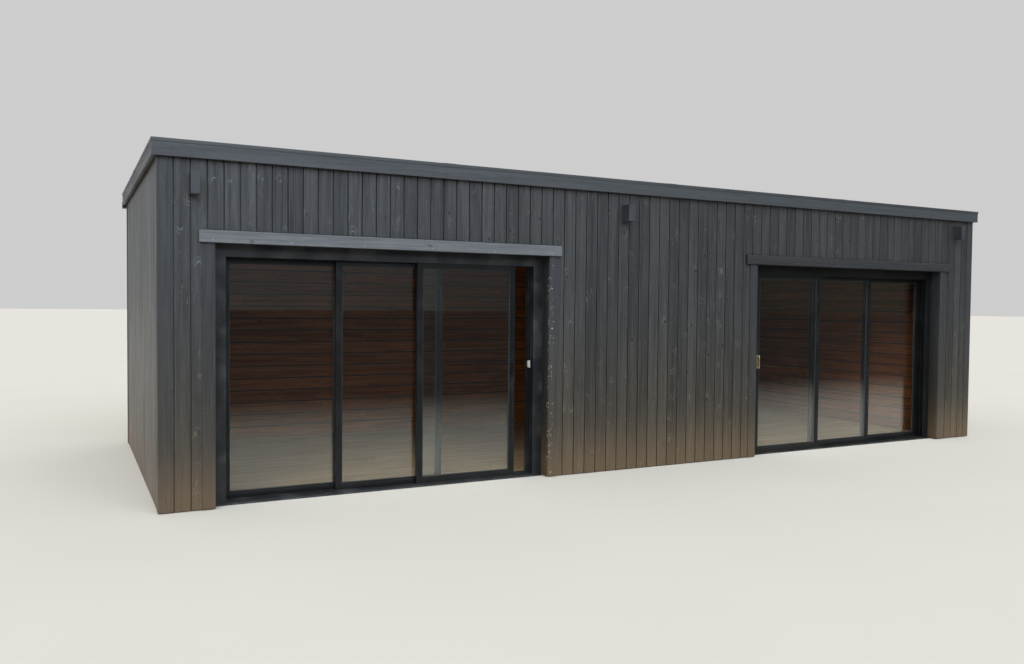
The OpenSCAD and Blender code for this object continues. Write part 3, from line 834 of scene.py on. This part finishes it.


# The left head board is weathered paler than the right, and its bluish grey also paints the sky's reflection
# on it.
head_stains = {
    "left": stained_boards(
        "grey head board", "X", (0.066, 0.07, 0.075, 1), (0.15, 0.158, 0.168, 1),
        roughness=0.58, relief=0.0009, scuffs=0.2),
    "right": stained_boards(
        "black head board", "X", (0.011, 0.0115, 0.012, 1), (0.046, 0.048, 0.05, 1),
        roughness=0.5, relief=0.0009, scuffs=0.5),
}
spattered_stain = stained_boards(
    "spattered casing", "Z", PLANED, PLANED_WORN, roughness=0.56, relief=0.0006, scuffs=0.6,
    spatter=doorways["left"][1].x)
reveal_stains = stains_along(
    {"Z": "black stained reveal", "X": "black stained reveal head"},
    BLACK, (0.028, 0.03, 0.033, 1), roughness=0.58, relief=0.0006, scuffs=0.5)
cladding_low, cladding_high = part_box("front_cladding")
wall_face = cladding_high.y
casing_y = cladding_low.y - CASING_OUT
for door, (way_low, way_high) in doorways.items():
    node = door + "_door_surround"
    low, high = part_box(node)
    reveals = []
    for side, x, outward in (("left", way_low.x, -1), ("right", way_high.x, 1)):
        ends = sorted((x, x + outward * CASING_W))
        spot = (ends[0], casing_y, low.z), (ends[1], wall_face, way_high.z)
        stain = spattered_stain if (door, side) == ("left", "right") else planed_stain
        dressed(boards_at(door + "_door_" + side + "_casing", [spot]), stain, [node])
        ends = sorted((x, x + outward * REVEAL_T))
        reveals.append(((ends[0], wall_face, low.z), (ends[1], high.y, way_high.z)))
    sides = boards_at(door + "_door_reveals", reveals, REVEAL_ARRIS)
    dressed(sides, reveal_stains["Z"], [node])
    over = ((way_low.x - REVEAL_T, wall_face, way_high.z),
            (way_high.x + REVEAL_T, high.y, way_high.z + REVEAL_T))
    soffit = boards_at(door + "_door_soffit", [over], REVEAL_ARRIS)
    dressed(soffit, reveal_stains["X"], [node])
    board = head_board(door + "_head_board", (low.x, low.y, way_high.z), (high.x, wall_face, high.z))
    dressed(board, head_stains[door], [node])
    spots = [(x, low.y, way_high.z + draw.uniform(0.016, 0.024))
             for x in spaced(low.x, high.x, HEAD_SCREWS, HEAD_SCREW_IN)]
    add_screws(door + "_head_screws", spots, (0, -1, 0), HEAD_SCREW_R, steel)


# The door frames: black coated aluminium sections with three channels, screwed to the reveals. The
# sill has a rail in each channel and slots with small covers that let the rain out. The left frame's
# coat is the dustier one.
WEEP_SIZE = Vector((0.032, 0.0022, 0.008))
WEEP_COUNT = 6
WEEP_IN = 0.2
WEEP_BACK = 0.024
WEEP_Z = 0.0145

door_metal = coated("black door metal", (0.006, 0.0062, 0.0064, 1), 0.3, grime=0.1, ior=1.32)
worn_metal = coated("worn black door metal", (0.009, 0.0098, 0.0105, 1), 0.34, grime=0.7, ior=1.4)
for door, (low, high) in doorways.items():
    node = door + "_door_frame"
    metal = worn_metal if door == "left" else door_metal
    dressed(eased(node, FINE_ARRIS), metal, [node])
    covers = []
    for x in spaced(low.x, high.x, WEEP_COUNT, WEEP_IN):
        cover_low = Vector((x - WEEP_SIZE.x / 2, low.y + WEEP_BACK - WEEP_SIZE.y, WEEP_Z))
        covers.append((cover_low, cover_low + WEEP_SIZE))
    dressed(boards_at(door + "_weep_covers", covers, FINE_ARRIS), door_metal)


# The keep: a small curved ivory catch that fills the middle channel of the left frame's right
# side. No panel runs there, so it stands clear of the doors.
KEEP_Z = 1.078
KEEP_H = 0.068
KEEP_W = 0.03
KEEP_OUT = 0.014
KEEP_IN = 0.022
KEEP_CURVE = 0.012
KEEP_ARRIS = 0.0015
FRAME_FACE = 0.1

low_y, high_y = (corner.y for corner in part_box("left_middle_panel"))
keep_x = doorways["left"][1].x - FRAME_FACE
keep_y = (low_y + high_y) / 2
keep_low = (keep_x - KEEP_OUT, keep_y - KEEP_W / 2, KEEP_Z - KEEP_H / 2)
keep_high = (keep_x + KEEP_IN, keep_y + KEEP_W / 2, KEEP_Z + KEEP_H / 2)
keep = block("door_keep", keep_low, keep_high)
edit(keep)
pick(keep, "EDGE", lambda a, b: abs(a.y - b.y) > KEEP_W / 2 and a.x < keep_x and b.x < keep_x)
bpy.ops.mesh.bevel(offset=KEEP_CURVE, segments=6, affect="EDGES")
deselect()
round_edges(keep, KEEP_ARRIS)
ivory = coated("ivory plastic", (0.5, 0.49, 0.44, 1), 0.4, grime=0.1)
dressed(keep, ivory)


# The door panels: four coated aluminium bars round each glass unit, sealed by black rubber gaskets
# on both faces. A unit is two panes that a metal spacer bar holds apart along their edges.
GLASS_BITE = 0.012
GASKET_W = 0.0045
GASKET_T = 0.0016
GASKET_ARRIS = 0.0006
PANE_T = 0.006
SPACER_IN = 0.004
SPACER_W = 0.011
SPACER_PLAY = 0.0002
PANELS = {
    "left_fixed": "building", "left_middle": "left_middle_door", "left_leading": "left_leading_door",
    "right_fixed": "building", "right_middle": "right_middle_door", "right_leading": "right_leading_door",
}


def ring(name, low, high, width):
    """A flat frame between two corners, open along Y, whose four sides are all one width."""
    made = block(name, low, high)
    edit(made)
    pick(made, "FACE", lambda middle, normal: abs(normal.y) > 0.9)
    bpy.ops.mesh.inset(thickness=width, use_individual=True)
    bpy.ops.mesh.bridge_edge_loops()
    deselect()
    return made


def black_rubber():
    finish, tree, place = new_material("black rubber", IOR=1.5)
    grime = noise(tree, place, 30, 4)
    shade = blended(tree, ramp(tree, grime, 0.45, 0.75), grey(0.012), grey(0.03))
    connect(tree, shade, ramp(tree, grime, 0.3, 0.7, 0.6, 0.8))
    return finish


def window_glass():
    """Clear glass that lets the lamps' light straight through, with a faint film of dust."""
    finish, tree, place = new_material("window glass", IOR=1.52, Transmission_Weight=1.0)
    film = noise(tree, place, 3, 6)
    tint = blended(tree, ramp(tree, film, 0.3, 0.8), (0.955, 0.972, 0.965, 1), (0.935, 0.955, 0.945, 1))
    connect(tree, tint, ramp(tree, film, 0.45, 0.8, 0.0, 0.012))
    shader = tree.nodes["Principled BSDF"].outputs[0]
    clear = add_node(tree, "ShaderNodeBsdfTransparent", {"Color": (0.93, 0.95, 0.94, 1)}).outputs[0]
    in_shadow = add_node(tree, "ShaderNodeLightPath", {}).outputs["Is Shadow Ray"]
    both = add_node(tree, "ShaderNodeMixShader", {0: in_shadow, 1: shader, 2: clear})
    tree.links.new(both.outputs[0], tree.nodes["Material Output"].inputs["Surface"])
    return finish


gasket_rubber = black_rubber()
glass = window_glass()
spacer_metal = coated("spacer bar metal", (0.02, 0.02, 0.021, 1), 0.5, grime=0.05)
for panel, body in PANELS.items():
    node = panel + "_panel"
    dressed(eased(node, FINE_ARRIS), door_metal, [node], body)
    node = panel + "_glass"
    low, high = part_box(node)
    gaskets = []
    for y0, y1 in ((low.y - GASKET_T, low.y), (high.y, high.y + GASKET_T)):
        gasket_low = (low.x + GLASS_BITE, y0, low.z + GLASS_BITE)
        gasket_high = (high.x - GLASS_BITE, y1, high.z - GLASS_BITE)
        gaskets.append(ring("gasket", gasket_low, gasket_high, GASKET_W))
    gaskets = join(panel + "_gaskets", gaskets)
    round_edges(gaskets, GASKET_ARRIS)
    dressed(gaskets, gasket_rubber, [], body)
    panes = [((low.x, y, low.z), (high.x, y + PANE_T, high.z)) for y in (low.y, high.y - PANE_T)]
    dressed(boards_at(panel + "_panes", panes, FINE_ARRIS, 1), glass, [node], body)
    inset = Vector((SPACER_IN, PANE_T + SPACER_PLAY, SPACER_IN))
    spacer = ring(panel + "_spacer", low + inset, high - inset, SPACER_W)
    round_edges(spacer, FINE_ARRIS)
    dressed(spacer, spacer_metal, [node], body)


# The handles: a slim brass grip on a plate on the right leading panel, and a black flush pull let
# into the left one. Each is held by two screws.
PLATE_T = 0.004
PLATE_ARRIS = 0.0012
GRIP_D = 0.014
GRIP_ARRIS = 0.0018
ARM_D = 0.01
PULL_DEPTH = 0.013
HANDLE_SCREW_R = 0.0028
PLATE_SCREW_IN = 0.006
PULL_SCREW_IN = 0.014


def brushed_brass():
    finish, tree, place = new_material("aged brass", Metallic=1.0)
    lines = add_node(tree, "ShaderNodeMapping", {"Vector": place, "Scale": (900, 900, 12)}).outputs[0]
    brushed = noise(tree, lines, 1)
    touched = ramp(tree, noise(tree, place, 40, 4), 0.4, 0.7)
    shade = blended(tree, touched, (0.66, 0.55, 0.33, 1), (0.5, 0.38, 0.2, 1))
    connect(tree, shade, ramp(tree, brushed, 0.3, 0.7, 0.22, 0.38), brushed, Distance=0.00005)
    return finish


def bar(diameter, start, end, rounding):
    """A round bar between two points on one axis, with its rims rounded."""
    deselect()
    span = Vector(end) - Vector(start)
    bpy.ops.mesh.primitive_cylinder_add(vertices=40, radius=diameter / 2, depth=span.length)
    made = bpy.context.object
    turn = Vector((0, 0, 1)).rotation_difference(span).to_matrix().to_4x4()
    made.data.transform(Matrix.Translation((Vector(start) + Vector(end)) / 2) @ turn)
    if rounding:
        round_edges(made, rounding, 3)
    return made


def grip_handle(name, low, high):
    """The plate, with the two arms and the round grip welded to it."""
    middle = (low.x + high.x) / 2
    grip_y = low.y + GRIP_D / 2
    plate_y = high.y - PLATE_T
    handle = block(name, (low.x, plate_y, low.z), high)
    round_edges(handle, PLATE_ARRIS, 3)
    grip = bar(GRIP_D, (middle, grip_y, low.z), (middle, grip_y, high.z), GRIP_ARRIS)
    arms = [bar(ARM_D, (middle, grip_y, z), (middle, plate_y + PLATE_T / 2, z), 0)
            for z in (low.z + GRIP_D, high.z - GRIP_D)]
    for part in (grip, *arms):
        use_modifier(handle, "BOOLEAN", operation="UNION", solver="EXACT", object=part)
        bpy.data.objects.remove(part)
    bpy.ops.object.shade_smooth_by_angle(angle=radians(50))
    return handle


def handle_screws(name, low, high, y, inset, body):
    """Two screws that face the front in the middle of a handle's width."""
    middle = (low.x + high.x) / 2
    spots = [(middle, y, z) for z in (low.z + inset, high.z - inset)]
    add_screws(name, spots, (0, -1, 0), HANDLE_SCREW_R, steel, body)


low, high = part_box("right_door_handle")
grip = grip_handle("right_door_grip", low, high)
dressed(grip, brushed_brass(), ["right_door_handle"], "right_leading_door")
handle_screws("right_handle_screws", low, high, high.y - PLATE_T, PLATE_SCREW_IN, "right_leading_door")

low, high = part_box("left_door_handle")
pull = eased("left_door_handle", FINE_ARRIS, 3)
dressed(pull, door_metal, ["left_door_handle"], "left_leading_door")
handle_screws("left_pull_screws", low, high, low.y + PULL_DEPTH, PULL_SCREW_IN, "left_leading_door")


# The wall lights: black cast boxes that shine up and down through a frosted lens near each end,
# each held by two screws in its side.
LIGHT_T = 0.004
LIGHT_ARRIS = 0.0012
LENS_IN = 0.009
LENS_T = 0.004
LIGHT_SCREW_R = 0.0032
LIGHT_SCREW_OUT = 0.014
LIGHT_SCREW_IN = 0.05


def frosted_glass():
    finish, tree, place = new_material("frosted lens", IOR=1.5, Transmission_Weight=0.35)
    mist = noise(tree, place, 60, 3)
    shade = blended(tree, mist, (0.62, 0.63, 0.62, 1), (0.72, 0.72, 0.7, 1))
    connect(tree, shade, ramp(tree, mist, 0.3, 0.7, 0.4, 0.55))
    return finish


# The lights' coat is lifted to a bluish grey that paints the satin boxes' reflection of the sky.
light_metal = coated("black light metal", (0.026, 0.029, 0.034, 1), 0.44, grime=0.3)
frosted = frosted_glass()
for light in ("left", "middle", "right"):
    node = light + "_wall_light"
    low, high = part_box(node)
    dressed(eased(node, LIGHT_ARRIS, 3), light_metal, [node])
    lenses = [((low.x + LIGHT_T, low.y + LIGHT_T, z), (high.x - LIGHT_T, high.y - LIGHT_T, z + LENS_T))
              for z in (low.z + LENS_IN, high.z - LENS_IN - LENS_T)]
    dressed(boards_at(light + "_light_lenses", lenses, FINE_ARRIS), frosted)
    screw_y = high.y - LIGHT_SCREW_OUT
    spots = [(low.x, screw_y, z) for z in (low.z + LIGHT_SCREW_IN, high.z - LIGHT_SCREW_IN)]
    add_screws(light + "_light_screws", spots, (-1, 0, 0), LIGHT_SCREW_R, light_metal)


# The rainwater goods: a black box gutter in five socketed lengths under the back edge, with folded
# steel straps inside that keep its sides apart, and a round downpipe clipped to the back wall.
GUTTER_T = 0.003
PIPE_ARRIS = 0.001
STRAP_PITCH = 0.85
STRAP_W = 0.03
STRAP_T = 0.0025
STRAP_DROP = 0.014
STRAP_IN = 0.012
STRAP_ARRIS = 0.0006

plastic = coated("black rainwater plastic", (0.019, 0.0195, 0.02, 1), 0.4, grime=0.35)
dressed(eased("back_gutter", FINE_ARRIS), plastic, ["back_gutter"])
dressed(eased("downpipe", PIPE_ARRIS), plastic, ["downpipe"])
low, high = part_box("back_gutter")
strap_y = low.y + GUTTER_T, high.y - 2 * GUTTER_T
fold_y = strap_y[0] + STRAP_T, strap_y[1] - STRAP_T
strap_z = high.z - STRAP_IN
straps = []
for x in spaced(low.x, high.x, floor((high.x - low.x) / STRAP_PITCH)):
    strap_low = (x - STRAP_W / 2, strap_y[0], strap_z - STRAP_T)
    strap = block("strap", strap_low, (x + STRAP_W / 2, strap_y[1], strap_z))
    edit(strap)
    for y in fold_y:
        slice_across(1, y)
    pick(strap, "FACE", lambda middle, normal: normal.z < -0.9 and not fold_y[0] < middle.y < fold_y[1])
    extrude(0, 0, -STRAP_DROP)
    deselect()
    straps.append(strap)
straps = join("gutter_straps", straps)
round_edges(straps, STRAP_ARRIS)
dressed(straps, steel)


# The inside: walls and ceiling lined with reddish brown boards, laid level with open joints, and a
# floor of oiled oak planks laid close, all butted end to end and nailed to the panels behind.
LINING_COVER = 0.145
LINING_T = 0.01
LINING_GAP = 0.016
LINING_LENGTH = 3.6
LINING_ARRIS = 0.004
PLANK_COVER = 0.18
PLANK_LENGTH = 2.2
PLANK_GAP = 0.0008
SHORTEST_BOARD = 0.3


def courses(name, low, high, along, across, cover, length, gap, arris):
    """Boards that run along one axis and lie side by side across another, with staggered ends."""
    spots = []
    for row in range(ceil((high[across] - low[across]) / cover)):
        row_low = low[across] + row * cover
        start = low[along]
        end = start + length * draw.uniform(0.35, 1)
        while start < high[along] - 0.001:
            if high[along] - end < SHORTEST_BOARD:
                end = high[along]
            board_low = Vector(low)
            board_high = Vector(high)
            board_low[across] = row_low
            board_high[across] = min(high[across], row_low + cover - gap)
            board_low[along] = start
            board_high[along] = end
            spots.append((board_low, board_high))
            start = end
            end = min(high[along], start + length)
    return boards_at(name, spots, arris)


room_low = Vector((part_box("left_wall")[1].x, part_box("front_wall_left")[1].y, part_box("floor_panel")[1].z))
room_high = Vector((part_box("right_wall")[0].x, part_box("back_wall")[0].y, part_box("back_wall")[1].z))
lining_sizes = (LINING_COVER, LINING_LENGTH, LINING_GAP, LINING_ARRIS)
lining_stains = stains_along(
    {"X": "red brown lining", "Y": "red brown end lining"}, (0.13, 0.043, 0.015, 1),
    (0.38, 0.135, 0.045, 1), roughness=0.6, relief=0.0004, scuffs=0.0, dirt=0.0, ior=1.1)
wall_top = room_high.z - LINING_T
for side, along in (("front", 0), ("back", 0), ("left", 1), ("right", 1)):
    low = room_low.copy()
    high = Vector((room_high.x, room_high.y, wall_top))
    if side in ("front", "left"):
        high[1 - along] = low[1 - along] + LINING_T
    else:
        low[1 - along] = high[1 - along] - LINING_T
    low.y += along * LINING_T
    high.y -= along * LINING_T
    lining = courses(side + "_lining", low, high, along, 2, *lining_sizes)
    if side == "front":
        for way_low, way_high in doorways.values():
            cut_out(lining, (way_low.x, room_low.y - 1, -1), (way_high.x, 0, way_high.z))
    dressed(lining, lining_stains["XY"[along]])
low = (room_low.x, room_low.y, wall_top)
ceiling = courses("ceiling_boards", low, room_high, 0, 1, *lining_sizes)
dressed(ceiling, lining_stains["X"])

oak = stained_boards(
    "oiled oak planks", "X", (0.2, 0.125, 0.066, 1), (0.36, 0.245, 0.145, 1),
    roughness=0.42, relief=0.0003, scuffs=0.0, dirt=0.0)
low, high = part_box("floor_panel")
planks = courses("floor_planks", (low.x, room_low.y, 0), high, 0, 1,
                 PLANK_COVER, PLANK_LENGTH, PLANK_GAP, FINE_ARRIS)
sills = [((way_low.x, low.y, 0), (way_high.x, room_low.y, high.z))
         for way_low, way_high in doorways.values()]
planks = join("floor_planks", [planks, boards_at("sill_strips", sills, FINE_ARRIS)])
dressed(planks, oak, ["floor_panel"])
